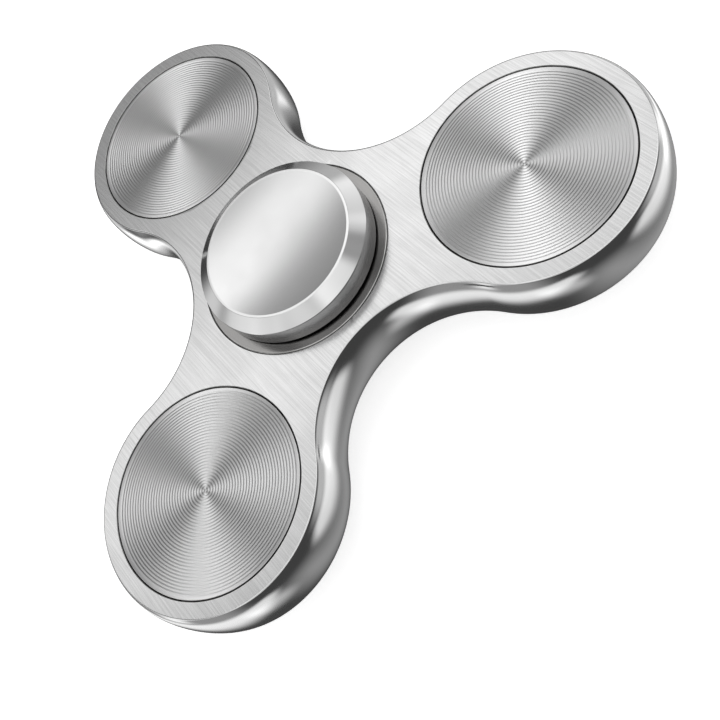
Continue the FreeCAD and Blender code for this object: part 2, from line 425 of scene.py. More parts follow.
class Effects:
    """The effects that several finishes share, each a node group that is built once."""

    def __init__(self) -> None:
        """Builds the groups."""
        self.lines = self._lines()
        self.smudges = self._smudges()
        self.wear = self._wear()
        self.painted_sheen = self._painted_sheen()

    @staticmethod
    def _lines() -> Group:
        """Fine parallel lines: noise that is stretched along V, at a coarse and a fine pitch.

        Returns:
            The group.
        """
        bench, given = shader_group("fine_lines", ["Vector"],
                                    {"Lines per unit": 6, "Stretch": 0.02, "Detail": 3})
        parts = bench.add("SeparateXYZ", {0: given["Vector"]}).outputs
        across = bench.math("MULTIPLY", parts["X"], given["Lines per unit"])
        along = bench.math("MULTIPLY", parts["Y"], given["Lines per unit"])
        along = bench.math("MULTIPLY", along, given["Stretch"])
        mask = 0.0
        for pitch, share in ((1.0, 0.6), (2.7, 0.4)):
            place = bench.add("CombineXYZ", {"X": bench.math("MULTIPLY", across, pitch),
                                             "Y": bench.math("MULTIPLY_ADD", along, pitch, 0.5)})
            noise = bench.noise(place.outputs[0], "2D", Scale=1.0, Roughness=0.6, Detail=given["Detail"])
            mask = bench.math("MULTIPLY_ADD", noise, share, mask)
        return bench.put_out(mask)

    @staticmethod
    def _smudges() -> Group:
        """Soft patches left by handling: low-contrast noise a few millimetres across.

        Returns:
            The group.
        """
        bench, given = shader_group("handling_smudges", ["Vector"], {"Scale": 150})
        noise = bench.noise(given["Vector"], Scale=given["Scale"], Detail=4.0)
        return bench.put_out(bench.map_range(noise, (0.35, 0.7), smooth=True))

    @staticmethod
    def _wear() -> Group:
        """Rubbed edges: the piece's edge attribute, broken up by fine noise.

        Returns:
            The group.
        """
        bench, given = shader_group("rubbed_edges", ["Vector"], {"Amount": 0.5})
        edge = bench.add("Attribute", attribute_name="edge").outputs["Fac"]
        broken = bench.map_range(bench.noise(given["Vector"], Scale=900.0), (0.4, 0.6), (0.5, 1.0))
        worn = bench.math("MULTIPLY", edge, broken)
        return bench.put_out(bench.math("MULTIPLY", worn, given["Amount"], clamp=True))

    @staticmethod
    def _painted_sheen() -> Group:
        """Painted shade between crossed, wedge-shaped painted highlights that stand in for the light on
        ring-turned metal.

        The painted light is 0.61 + 0.16 * cos(2 * angle) + 0.23 * cos(4 * angle), with the angle from the
        brightest wedge's heading, out of the share of the turn in V. Its painted shade is 1 - light.

        Returns:
            The group.
        """
        bench, given = shader_group("painted_wedge_sheen", ["Vector"], {"Heading": 83})
        turn = bench.add("SeparateXYZ", {0: given["Vector"]}).outputs["Y"]
        heading = bench.math("RADIANS", given["Heading"])
        angle = bench.math("SUBTRACT", bench.math("MULTIPLY", turn, 2 * math.pi), heading)
        light = 0.61
        for waves, share in ((2, 0.16), (4, 0.23)):
            wave = bench.math("COSINE", bench.math("MULTIPLY", angle, waves))
            light = bench.math("MULTIPLY_ADD", wave, share, light)
        return bench.put_out(bench.math("SUBTRACT", 1.0, light, clamp=True))


@dataclass(frozen=True)
class MetalFinish:
    """A machined or polished metal surface.

    Its lines have a number to a millimetre, a width as a share of their length, a depth in
    millimetres and a tone, which is how much they darken the metal. The painted sheen tone is how dark
    the base colour is painted between wedge-shaped painted highlights that stand in for light on turned
    rings.
    """
    name: str
    colour: tuple[float, float, float]
    roughness: float
    anisotropy: float = 0.0
    grain: Grain = Grain.NONE
    lines_per_mm: float = 6.0
    line_stretch: float = 0.02
    line_depth: float = 0.0
    line_tone: float = 0.0
    painted_sheen_tone: float = 0.0
    smudge: float = 0.03
    wear: float = 0.3
    smudge_scale: float = 160.0
    worn_smoothness: float = 0.4

    def material(self, effects: Effects) -> Material:
        """Builds the finish's material.

        Args:
            effects: the shared node groups.

        Returns:
            The material.
        """
        made = bpy.data.materials.new(self.name)
        made.use_nodes = True
        bench = NodeBench(made.node_tree)
        place = bench.add("TexCoord").outputs["Object"]
        smudges = self._effect(bench, effects.smudges, place, {"Scale": self.smudge_scale})
        worn = self._effect(bench, effects.wear, place, {"Amount": self.wear})
        shader = bench.add("BsdfPrincipled", {"Metallic": 1.0, "Anisotropic": self.anisotropy})
        bench.add("OutputMaterial", {"Surface": shader.outputs[0]})
        dark = bench.math("MULTIPLY", smudges, self.smudge)
        colour = self._blended(bench, (*self.colour, 1.0), BLACK, dark)
        if self.grain is not Grain.NONE:
            colour = self._lined(bench, effects, shader, colour)
        roughness = bench.math("MULTIPLY_ADD", smudges, self.smudge, self.roughness)
        smoothed = bench.math("MULTIPLY", worn, self.worn_smoothness * self.roughness)
        roughness = bench.math("SUBTRACT", roughness, smoothed, clamp=True)
        bench.tree.links.new(roughness, shader.inputs["Roughness"])
        bench.tree.links.new(self._blended(bench, colour, RUBBED_METAL, worn), shader.inputs["Base Color"])
        return made

    @staticmethod
    def _effect(bench: NodeBench, group: Group, place: Socket,
                values: dict[str, float] | None = None) -> Socket:
        """Places a shared effect with its own values and returns its mask."""
        return bench.add("Group", {"Vector": place, **(values or {})}, node_tree=group).outputs["Mask"]

    @staticmethod
    def _blended(bench: NodeBench, colour: object, target: tuple[float, float, float, float],
                 mask: Socket) -> Socket:
        """A colour blended towards another one where the mask is high."""
        return bench.add("Mix", {"Factor": mask, 6: colour, 7: target}, data_type="RGBA").outputs[2]

    def _lined(self, bench: NodeBench, effects: Effects, shader: bpy.types.Node,
               colour: Socket) -> Socket:
        """Cuts the fine lines into the surface and turns the highlight across them.

        Args:
            bench: the material's bench.
            effects: the shared node groups.
            shader: the material's shader.
            colour: the colour of the plain metal.

        Returns:
            The colour darkened in the lines, with painted shade between the wedge-shaped painted highlights.
        """
        place = bench.add("UVMap", uv_map=self.grain.value).outputs[0]
        lines = self._effect(bench, effects.lines, place, {"Lines per unit": self.lines_per_mm,
                                                           "Stretch": self.line_stretch})
        bump = bench.add("Bump", {"Strength": 1.0, "Distance": self.line_depth * MM, "Height": lines})
        tangent = bench.add("Tangent", direction_type="UV_MAP", uv_map=self.grain.value)
        bench.tree.links.new(bump.outputs[0], shader.inputs["Normal"])
        bench.tree.links.new(tangent.outputs[0], shader.inputs["Tangent"])
        dark = bench.map_range(lines, (0.38, 0.62), (self.line_tone, 0.0))
        colour = self._blended(bench, colour, BLACK, dark)
        # painted sheen: the base colour is darkened between fixed wedge-shaped highlights that stand in for
        # reflected light
        if self.painted_sheen_tone:
            painted_sheen = self._effect(bench, effects.painted_sheen, place)
            colour = self._blended(bench, colour, BLACK, bench.math("MULTIPLY", painted_sheen, self.painted_sheen_tone))
        return colour


class FinishShop:
    """Every finish of the spinner, made once."""

    def __init__(self) -> None:
        """Builds the materials."""
        effects = Effects()
        self.brushed_face = MetalFinish(
            "brushed_frame_face", (0.69, 0.69, 0.69), 0.22, anisotropy=0.5, grain=Grain.STRAIGHT,
            lines_per_mm=5.0, line_stretch=0.018, line_depth=0.004, line_tone=0.16).material(effects)
        self.polished_side = MetalFinish(
            "polished_frame_side", (0.66, 0.66, 0.66), 0.13, smudge=0.02).material(effects)
        # the bore walls are painted near black: painted shade that makes the gaps round the discs and the
        # bearing read dark
        self.painted_shade_bore_wall = MetalFinish("frame_bore_wall_painted_shade", (0.12, 0.12, 0.12), 0.45).material(effects)
        # the disc's light and dark wedge pattern is painted sheen in its base colour, fixed to the disc
        # rather than made by the lamps
        self.turned_disc = MetalFinish(
            "ring_turned_disc", (0.97, 0.97, 0.97), 0.38, anisotropy=0.2, grain=Grain.TURNED,
            lines_per_mm=12.0, line_stretch=0.05, line_depth=0.0015, line_tone=0.05,
            painted_sheen_tone=0.95).material(effects)
        self.satin_dish = MetalFinish("satin_button_dish", (0.66, 0.66, 0.66), 0.17).material(effects)
        self.button_wall = MetalFinish("turned_button_wall", (0.60, 0.60, 0.60), 0.24).material(effects)
        self.polished_button = MetalFinish(
            "polished_button", (0.66, 0.66, 0.66), 0.14, smudge=0.02).material(effects)
        # the bearing rings are painted dark grey, darker than ground steel: painted shade for the ring's
        # face under the finger button's wall
        self.shaded_ground_race = MetalFinish(
            "ground_bearing_ring_painted_shade", (0.30, 0.295, 0.29), 0.18, anisotropy=0.3, grain=Grain.TURNED,
            lines_per_mm=14.0, line_stretch=0.05, line_depth=0.0006, line_tone=0.08).material(effects)
        self.lapped_ball = MetalFinish("lapped_ball", (0.78, 0.78, 0.78), 0.06, smudge=0.0).material(effects)
        self.pressed_sheet = MetalFinish("pressed_steel_sheet", (0.62, 0.61, 0.59), 0.32).material(effects)
        self.turned_slug = MetalFinish(
            "turned_steel_slug", (0.52, 0.52, 0.52), 0.38, anisotropy=0.5, grain=Grain.TURNED,
            lines_per_mm=6.0, line_stretch=0.05, line_depth=0.003, line_tone=0.15).material(effects)
        self.black_stud = MetalFinish(
            "blackened_stud", (0.07, 0.07, 0.075), 0.42, wear=0.6).material(effects)


# --- The spinner's sub-assemblies ---

@dataclass
class SpinnerFrame:
    """The three-lobed plate: flat brushed faces, rounded polished sides and stepped bores."""
    finishes: FinishShop
    side_bulge: float = 0.8
    waist_wall: float = 1.6
    seat_ledge: float = 1.0
    edge_round: float = 0.09
    side_rows: int = 44
    side_crowding: float = 0.44
    lobe_columns: int = 150
    waist_columns: int = 44
    bore_columns: int = 44
    bridge_columns: int = 3
    face_rows: tuple[float, ...] = (0, 0.03, 0.3, 0.65, 0.97, 1.0)
    watch_offset: float = 1.5
    bearing_radius: float = field(init=False)
    seat_radius: float = field(init=False)
    mouth_radius: float = field(init=False)
    half: float = field(init=False)
    half_core: float = field(init=False)
    arm: float = field(init=False)
    lobe_centre: np.ndarray = field(init=False)
    lobe_radius: float = field(init=False)
    waist: float = field(init=False)

    def __post_init__(self) -> None:
        """Reads the fitted sizes from the frame."""
        plate, core = Extent.of("frame"), Extent.of("lobe_1_core_weight")
        self.bearing_radius = Extent.of("bearing_outer_race").radius
        self.seat_radius = core.radius + self.seat_ledge
        self.mouth_radius = self.seat_radius + self.edge_round
        self.half, self.half_core = plate.high, core.high
        self.arm = float(core.centre[0])
        self.lobe_centre = np.array([self.arm, 0.0])
        self.lobe_radius = float(plate.far[0]) - self.arm - self.side_bulge
        self.waist = self.bearing_radius + self.waist_wall

    def _outline(self) -> tuple[np.ndarray, np.ndarray]:
        """The first lobe's part of the outline, from waist to waist.

        It is a lobe arc about (arm, 0) with half a hollow arc at each end. The hollow arc touches
        both lobe circles and the waist, so its radius = (arm^2 + waist^2 - 2 waist reach - lobe^2)
        / (2 (lobe + reach - waist)), where reach is the arm's share along the arc's ray.

        Returns:
            The outline's points and their outward directions.
        """
        reach = self.arm * math.cos(HALF_STEP)
        gain = self.arm ** 2 + self.waist ** 2 - 2 * self.waist * reach - self.lobe_radius ** 2
        radius = gain / (2 * (self.lobe_radius + reach - self.waist))
        arc_centre = (self.waist + radius) * directions(HALF_STEP)
        seam = math.atan2(arc_centre[1], arc_centre[0] - self.arm)
        hollow = np.linspace(HALF_STEP - math.pi, seam - math.pi, self.waist_columns, endpoint=False)
        hollow_out = -directions(hollow)
        hollow_points = arc_centre - radius * hollow_out
        lobe_out = directions(np.linspace(-seam, seam, self.lobe_columns + 1))
        lobe_points = self.lobe_centre + self.lobe_radius * lobe_out
        flip = np.array([1.0, -1.0])
        points = np.concatenate([hollow_points * flip, lobe_points, hollow_points[::-1]])
        return points, np.concatenate([hollow_out * flip, lobe_out, hollow_out[::-1]])

    def _rim(self) -> np.ndarray:
        """Closed border of the first lobe's share of a face.

        It follows the outline, crosses to the bearing bore at +60 degrees, follows the bore back
        to -60 degrees and crosses to the outline again.

        Returns:
            The border's points, the last equal to the first.
        """
        outline, _ = self._outline()
        turn = np.linspace(HALF_STEP, -HALF_STEP, self.bore_columns + 1)
        bore = (self.bearing_radius + self.edge_round) * directions(turn)
        share = np.linspace(0, 1, self.bridge_columns + 1)[1:-1, None]
        out = outline[-1] * (1 - share) + bore[0] * share
        back = bore[-1] * (1 - share) + outline[0] * share
        return np.concatenate([outline, out, bore, back, outline[:1]])

    def _seat_angles(self, rim: np.ndarray) -> np.ndarray:
        """Finds where the disc seat's mouth faces the rim's points.

        Rays run from a point on the arm that sees the whole rim; each ray's hit on the circle
        solves |from + t * direction - centre| = radius.

        Args:
            rim: the border's points.

        Returns:
            The hits' angles about the lobe's centre.
        """
        gap = np.array([-self.watch_offset, 0.0])
        ray = rim - self.lobe_centre - gap
        ray /= np.linalg.norm(ray, axis=1, keepdims=True)
        along = ray @ gap
        reach = -along + np.sqrt(along ** 2 - gap @ gap + self.mouth_radius ** 2)
        hit = gap + reach[:, None] * ray
        return np.unwrap(np.arctan2(hit[:, 1], hit[:, 0]))

    @staticmethod
    def _on_lobe(points: np.ndarray, index: int) -> np.ndarray:
        """Points turned about Z from the first lobe to another one."""
        x, y = directions(LOBE_STEP * index)
        return np.concatenate([points[..., :2] @ np.array([[x, y], [-y, x]]), points[..., 2:]], axis=-1)

    @staticmethod
    def _brush_uv(points: np.ndarray) -> np.ndarray:
        """UV in millimetres: U runs across the brushed lines and V along them."""
        x, y = directions(BRUSH_DIRECTION)
        return points[..., :2] @ np.array([[y, x], [-x, y]])

    def _face(self, rim: np.ndarray, angles: np.ndarray, side: Side) -> np.ndarray:
        """Flat face of the first lobe: straight blends from the seat's mouth to the rim.

        Args:
            rim: the border's points.
            angles: the angles on the seat's mouth that face them.
            side: which side the face is on.

        Returns:
            The face's grid of points.
        """
        mouth = self.lobe_centre + self.mouth_radius * directions(angles)
        share = np.array(self.face_rows)[:, None, None]
        plan = mouth * (1 - share) + rim * share
        return np.concatenate([plan, np.full((*plan.shape[:2], 1), side.value * self.half)], axis=-1)

    def _side(self) -> np.ndarray:
        """Rounded side of the first lobe: outline + bulge * sin(turn) * outward, height half * cos(turn).

        The rows crowd towards the faces, where the section turns fastest.

        Returns:
            The side's grid of points.
        """
        points, outward = self._outline()
        even = np.linspace(0, math.pi, self.side_rows + 1)
        turn = (even - self.side_crowding * np.sin(2 * even))[:, None, None]
        plan = points + self.side_bulge * np.sin(turn) * outward
        height = self.half * np.cos(turn) + np.zeros((1, len(points), 1))
        return np.concatenate([plan, height], axis=-1)

    def _bore(self, radius: float, ledge: float = 0.0) -> Section:
        """Wall of a bore with rounded mouths.

        Args:
            radius: the bore's radius.
            ledge: how far a ledge stands in inside each mouth, 0 for none.

        Returns:
            The wall's section from the front mouth to the rear one.
        """
        front = [(radius + 2 * self.edge_round, self.half, 0.0), (radius, self.half, self.edge_round)]
        if ledge:
            front += [(radius, self.half_core, 0.0), (radius - ledge, self.half_core, 0.0)]
        section = Section.rounded(both_sides(front))
        return section.part(slice(2, len(section.points) - 2))

    def build(self) -> None:
        """Builds the frame and puts it in place of its CAD node."""
        rim = self._rim()
        angles = self._seat_angles(rim)
        bore_angles = np.linspace(-HALF_STEP, HALF_STEP, self.bore_columns + 1)
        skins = [(self._face(rim, angles, side), 0) for side in Side] + [(self._side(), 1)]
        walls = [turned_sheet(self._bore(self.seat_radius, self.seat_ledge), angles, self.lobe_centre, 2),
                 turned_sheet(self._bore(self.bearing_radius), bore_angles, finish=2)]
        sheets = []
        for index in range(LOBE_COUNT):
            placed = [(self._on_lobe(points, index), finish) for points, finish in skins]
            sheets += [Sheet(points, self._brush_uv(points), finish) for points, finish in placed]
            sheets += [replace(wall, points=self._on_lobe(wall.points, index)) for wall in walls]
        shop = self.finishes
        fit_piece("frame", "plate", sheets, [shop.brushed_face, shop.polished_side, shop.painted_shade_bore_wall],
                  "rotor", Grain.STRAIGHT)


@dataclass
class LobeWeight:
    """One lobe's weight: a slug in the bore and a ring-turned disc at each face."""
    finishes: FinishShop
    lobe: int
    groove_pitch: float = 0.33
    groove_depth: float = 0.042
    groove_ease: float = 0.16
    eased_depth: float = 0.7
    rim_flat: float = 0.12
    rim_gap: float = 0.02
    edge_round: float = 0.07
    disc_segments: int = 192
    slug_segments: int = 128

    def _grooves(self, count: int, top: float) -> Section:
        """V grooves with eased tops and bottoms, from the axis outwards.

        The depth depends on the distance from the nearest top, in half pitches: it grows slowly,
        then along a straight flank, then slowly.

        Args:
            count: how many grooves there are.
            top: height of their tops.

        Returns:
            The grooves' section.
        """
        ease = self.groove_ease
        share = np.array([0.0, ease / 2, 0.5 - ease / 2, 0.5, 0.5 + ease / 2, 1.0 - ease / 2])
        turns = np.append((np.arange(count)[:, None] + share).reshape(-1), float(count))
        away = 1 - 2 * np.abs(turns % 1.0 - 0.5)
        eased = self.eased_depth * ease
        depth = self.groove_depth * np.interp(away, [0, ease, 1 - ease, 1], [0, eased, 1 - eased, 1])
        return Section.sharp(np.stack([turns * self.groove_pitch, top - depth], axis=1))

    def _disc(self, side: Side) -> None:
        """Builds the disc on one side, from its axis over the grooves, down the rim and back below.

        Args:
            side: which side the disc is on.
        """
        node = f"lobe_{self.lobe}_{side.named('disc')}"
        extent = Extent.of(node)
        under, top = sorted((abs(extent.high), abs(extent.low)))
        count = int((extent.radius - self.rim_flat) / self.groove_pitch)
        rim = Section.rounded([(count * self.groove_pitch + self.rim_gap, top, 0),
                               (extent.radius, top, self.edge_round),
                               (extent.radius, under, self.edge_round), (0.0, under, 0)])
        section = self._grooves(count, top).then(rim).mirrored(side)
        sheet = turned_sheet(section, full_turn(self.disc_segments), extent.centre)
        fit_piece(node, "turned", [sheet], [self.finishes.turned_disc], "rotor")

    def _slug(self) -> None:
        """Builds the slug between the two discs."""
        node = f"lobe_{self.lobe}_core_weight"
        extent = Extent.of(node)
        section = Section.rounded(both_sides([(0.0, extent.high, 0),
                                              (extent.radius, extent.high, self.edge_round)]))
        sheet = turned_sheet(section, full_turn(self.slug_segments), extent.centre)
        fit_piece(node, "slug", [sheet], [self.finishes.turned_slug], "rotor")

    def build(self) -> None:
        """Builds the slug and both discs."""
        self._slug()
        for side in Side:
            self._disc(side)


@dataclass
class FingerButton:
    """A finger button: stub, shoulder, wall, polished chamfer, narrow lip and satin hollow.

    The last two sizes are how near a point is to the chamfer's foot or to the hollow's rim when it
    belongs to that corner's rounding.
    """
    finishes: FinishShop
    side: Side
    chamfer_height: float = 1.0
    chamfer_width: float = 1.45
    lip_width: float = 0.25
    dish_sag: float = 0.6
    underside_gap: float = 0.3
    shoulder_width: float = 1.5
    bore_radius: float = 4.0
    stub_radius: float = 3.98
    hole_runout: float = 0.5
    dish_rows: int = 24
    edge_round: float = 0.1
    stub_round: float = 0.15
    shoulder_round: float = 0.06
    lip_rounds: tuple[float, float] = (0.09, 0.07)
    segments: int = 256
    foot_reach: tuple[float, float] = (0.02, 0.12)
    rim_reach: float = 0.1

    def build(self) -> None:
        """Builds the button and puts it in place of its CAD node.

        The hollow is a sphere's cap: height = bottom + bulge - sqrt(bulge^2 - radius^2).
        """
        node = self.side.named("button")
        extent, stud = Extent.of(node), Extent.of("joining_stud")
        seat = Extent.of("bearing_inner_race").high
        stub_end, lip = sorted((abs(extent.high), abs(extent.low)))
        edge, stub = extent.radius, self.stub_radius
        shoulder = self.bore_radius + self.shoulder_width
        underside, hole_end = seat + self.underside_gap, stud.high + self.hole_runout
        foot, lip_outer = lip - self.chamfer_height, edge - self.chamfer_width
        dish_radius = lip_outer - self.lip_width
        bulge = dish_radius ** 2 / (2 * self.dish_sag) + self.dish_sag / 2
        radius = np.linspace(dish_radius, 0, self.dish_rows + 1)
        hollow = lip - self.dish_sag + bulge - np.sqrt(bulge ** 2 - radius ** 2)
        dish = np.stack([radius, hollow], axis=1)
        soft = self.edge_round
        outside = Section.rounded([
            (0, hole_end, 0), (stud.radius, hole_end, 0), (stud.radius, stub_end, soft),
            (stub, stub_end, self.stub_round), (stub, seat, 0), (shoulder, seat, self.shoulder_round),
            (shoulder, underside, 0), (edge, underside, soft), (edge, foot, soft),
            (lip_outer, lip, self.lip_rounds[0]), (dish_radius, lip, self.lip_rounds[1]), (*dish[1], 0)])
        out, up = outside.points.T
        near_foot = (out > edge - self.foot_reach[0]) & (up > foot - self.foot_reach[1])
        wall_top = int(np.flatnonzero(near_foot)[-1])
        bowl_edge = int(np.flatnonzero(out > dish_radius + self.rim_reach)[-1]) + 2
        bands = [outside.part(slice(0, wall_top + 1)), outside.part(slice(wall_top, bowl_edge + 1)),
                 outside.part(slice(bowl_edge, None)).then(Section.sharp(dish[2:]))]
        around = full_turn(self.segments)
        sheets = [turned_sheet(band.mirrored(self.side), around, finish=finish)
                  for finish, band in enumerate(bands)]
        shop = self.finishes
        fit_piece(node, "turned", sheets, [shop.button_wall, shop.polished_button, shop.satin_dish],
                  "finger_hub")


@dataclass
class JoiningStud:
    """Threaded stud with a hexagon socket in its front end."""
    finishes: FinishShop
    thread_pitch: float = 0.8
    thread_depth: float = 0.3
    end_chamfer: float = 0.4
    socket_flats: float = 2.5
    socket_depth: float = 2.0
    socket_cone: float = 0.4
    segments: int = 72
    rows_per_pitch: int = 8

    def build(self) -> None:
        """Builds the stud: thread radius = outer - depth * |triangle wave of (height / pitch - turn)|.

        A hexagon's radius is flats / 2 / cos(angle from the nearest flat's middle).
        """
        extent = Extent.of("joining_stud")
        around = full_turn(self.segments)
        turn = np.linspace(0, 1, self.segments + 1)
        rows = int((extent.high - extent.low) / self.thread_pitch * self.rows_per_pitch)
        height = np.linspace(extent.low, extent.high, rows + 1)[:, None]
        phase = (height / self.thread_pitch - turn) % 1.0
        ridge = extent.radius - self.thread_depth * np.abs(2 * phase - 1)
        ends = extent.radius - self.end_chamfer + np.minimum(height - extent.low, extent.high - height)
        thread = np.minimum(ridge, ends)
        sixth = math.pi / 3
        socket = self.socket_flats / 2 / np.cos((around + sixth / 2) % sixth - sixth / 2)
        bottom = extent.high - self.socket_depth
        middle = np.zeros_like(turn)
        radius = np.stack([middle, *thread, socket, socket, middle])
        level = np.concatenate([[extent.low], height[:, 0],
                                [extent.high, bottom, bottom - self.socket_cone]])[:, None]
        climb = np.arange(len(level))[:, None] * self.thread_pitch / self.rows_per_pitch
        uv = np.stack(np.broadcast_arrays(climb, turn), axis=-1)
        sheet = Sheet(round_grid(radius, around, level), uv)
        fit_piece("joining_stud", "threaded", [sheet], [self.finishes.black_stud],
                  "finger_hub")


@dataclass
class BallBearing:
    """The bearing: two rings with raceways, seven balls in a riveted cage, and two shields."""
    finishes: FinishShop
    groove_oversize: float = 0.075
    ball_clearance: float = 0.03
    corner: float = 0.15
    shoulder_round: float = 0.08
    land_start: float = 2.0
    sheet_round: float = 0.06
    fold_round: float = 0.1
    sheet_thickness: float = 0.3
    shield_rim_width: float = 0.3
    shield_gap: float = 0.15
    shield_middle: float = 7.0
    cage_ball_clearance: float = 0.05
    rivet_radius: float = 0.35
    rivet_head_radius: float = 0.55
    ring_segments: int = 224
    raceway_rows: int = 16
    shield_segments: int = 160
    ball_segments: int = 56
    cage_rows: int = 14
    rivet_segments: int = 28
    rivet_rows: int = 6
    ball: Extent = field(init=False)
    inner: Extent = field(init=False)
    outer: Extent = field(init=False)
    shield: Extent = field(init=False)
    pitch_radius: float = field(init=False)

    def __post_init__(self) -> None:
        """Reads the fitted sizes from the frame."""
        self.ball = Extent.of("bearing_ball_1")
        self.inner = Extent.of("bearing_inner_race")
        self.outer = Extent.of("bearing_outer_race")
        self.shield = Extent.of("front_shield")
        self.pitch_radius = float(self.ball.centre[0])

    def _ring(self, node: str, front: Corners, sign: int, body: str) -> None:
        """Builds a ring from the outside of its section, closed by its raceway.

        The raceway's radius is centre -/+ sqrt(groove^2 - height^2), and it meets the ring's land
        where the first corner is.

        Args:
            node: the ring's CAD node.
            front: corners of its outside's front half, from the land outwards.
            sign: 1 for the inner ring and -1 for the outer one.
            body: the body that it moves with.
        """
        groove = self.ball.high + self.groove_oversize
        bottom = self.pitch_radius - sign * (self.ball.high + self.ball_clearance)
        centre = bottom + sign * groove
        reach = math.sqrt(groove ** 2 - (front[0][0] - centre) ** 2)
        height = np.linspace(-reach, reach, self.raceway_rows + 1)
        raceway = np.stack([centre - sign * np.sqrt(groove ** 2 - height ** 2), height], axis=1)
        section = Section.rounded(both_sides(front))
        section = section.then(Section.sharp(raceway)).then(section.part(slice(0, 1)))
        sheet = turned_sheet(section, full_turn(self.ring_segments))
        fit_piece(node, "ground", [sheet], [self.finishes.shaded_ground_race], body)

    def _rings(self) -> None:
        """Builds the inner and the outer ring."""
        half, land = self.inner.high, self.inner.radius
        bore = 2 * self.pitch_radius - self.outer.radius
        front = [(land, self.land_start, 0), (land, half, self.shoulder_round), (bore, half, self.corner)]
        self._ring("bearing_inner_race", front, 1, "finger_hub")
        seat, step = self.shield.radius, self.shield.low
        land = 2 * self.pitch_radius - self.inner.radius
        front = [(land, self.land_start, 0), (land, step, 0), (seat, step, 0),
                 (seat, half, self.sheet_round), (self.outer.radius, half, self.corner)]
        self._ring("bearing_outer_race", front, -1, "rotor")

    def _shield(self, side: Side) -> None:
        """Builds a pressed shield with its turned-up rim.

        Args:
            side: which side the shield is on.
        """
        low, high, outer = self.shield.low, self.shield.high, self.shield.radius
        plate, rim = low + self.sheet_thickness, outer - self.shield_rim_width
        inner, small, fold = self.inner.radius + self.shield_gap, self.sheet_round, self.fold_round
        section = Section.rounded([
            (self.shield_middle, plate, 0), (inner, plate, small), (inner, low, small), (outer, low, fold),
            (outer, high, small), (rim, high, small), (rim, plate, fold), (self.shield_middle, plate, 0)])
        sheet = turned_sheet(section.mirrored(side), full_turn(self.shield_segments))
        fit_piece(side.named("shield"), "pressed", [sheet], [self.finishes.pressed_sheet],
                  "rotor")

    def _ball(self, index: int) -> None:
        """Builds one ball: a sphere about its own place on the pitch circle.

        Args:
            index: the ball's number, from 1.
        """
        node = f"bearing_ball_{index}"
        extent = Extent.of(node)
        rise = np.linspace(-math.pi / 2, math.pi / 2, self.ball_segments // 2 + 1)
        arc = extent.radius * directions(rise)
        arc[[0, -1], 0] = 0.0
        sheet = turned_sheet(Section.sharp(arc), full_turn(self.ball_segments), extent.centre)
        fit_piece(node, "lapped", [sheet], [self.finishes.lapped_ball], f"ball_{index}")

    def _cage_half(self, side: Side) -> None:
        """Builds half of the cage: a flat ring that swells into a pocket over each ball.

        With d the distance in plan to the nearest ball's centre, its top is the higher of the
        ring's thickness and sqrt(skin^2 - d^2), and its underside is sqrt(pocket^2 - d^2) or 0.

        Args:
            side: which side the half is on.
        """
        node = side.named("cage_half")
        outer = float(Extent.of(node).far[1])
        inner = 2 * self.pitch_radius - outer
        pocket = self.ball.high + self.cage_ball_clearance
        skin = pocket + self.sheet_thickness
        around = full_turn(self.ball_segments * BALL_COUNT)
        radius = np.linspace(inner, outer, self.cage_rows + 1)[:, None]
        offset = (around + BALL_STEP / 2) % BALL_STEP - BALL_STEP / 2
        gap = radius ** 2 + self.pitch_radius ** 2 - 2 * radius * self.pitch_radius * np.cos(offset)
        top = np.maximum(self.sheet_thickness, np.sqrt(np.maximum(skin ** 2 - gap, 0)))
        under = np.sqrt(np.maximum(pocket ** 2 - gap, 0))
        ring = side.value * np.concatenate([top, under[::-1], top[:1]])
        spread = np.concatenate([radius, radius[::-1], radius[:1]]) + 0 * around
        uv = np.stack([spread, around / (2 * math.pi) + 0 * spread], axis=-1)
        sheet = Sheet(round_grid(spread, around, ring), uv)
        fit_piece(node, "pressed", [sheet], [self.finishes.pressed_sheet], "ball_cage")

    def _rivets(self) -> None:
        """Builds the seven domed rivets as one piece, half way between the balls."""
        sheet, rise = self.sheet_thickness, Extent.of("cage_rivets").high - self.sheet_thickness
        dome = directions(np.linspace(0, math.pi / 2, self.rivet_rows + 1)[1:])
        bulge = dome * np.array([self.rivet_head_radius, rise]) + np.array([0, sheet])
        bulge[-1, 0] = 0.0
        upper = np.concatenate([[[self.rivet_radius, 0.0], [self.rivet_radius, sheet],
                                 [self.rivet_head_radius, sheet]], bulge])
        section = Section.sharp(np.concatenate([(upper * np.array([1, -1]))[::-1], upper[1:]]))
        places = self.pitch_radius * directions(BALL_STEP * (np.arange(BALL_COUNT) + 0.5))
        sheets = [turned_sheet(section, full_turn(self.rivet_segments), place) for place in places]
        fit_piece("cage_rivets", "domed", sheets, [self.finishes.pressed_sheet], "ball_cage")

    def build(self) -> None:
        """Builds every piece of the bearing."""
        self._rings()
        for side in Side:
            self._shield(side)
            self._cage_half(side)
        for index in range(1, BALL_COUNT + 1):
            self._ball(index)
        self._rivets()


# --- Studio ---

@dataclass(frozen=True)
class Softbox:
    """A soft-edged light panel, far away: where it is, its half sizes and its feather in degrees."""
    azimuth: float
    elevation: float
    half_width: float
    half_height: float
    feather: float
    power: float
    roll: float = 0.0

    def axes(self) -> tuple[Vector, Vector, Vector]:
        """Works out which way the panel faces.

        Returns:
            Directions to the panel, along its width and along its height.
        """
        turn, rise = math.radians(self.azimuth), math.radians(self.elevation)
        toward = Vector((math.cos(rise) * math.cos(turn), math.cos(rise) * math.sin(turn), math.sin(rise)))
        level = Vector((-math.sin(turn), math.cos(turn), 0.0))
        width = Matrix.Rotation(math.radians(self.roll), 3, toward) @ level
        return toward, width, toward.cross(width)


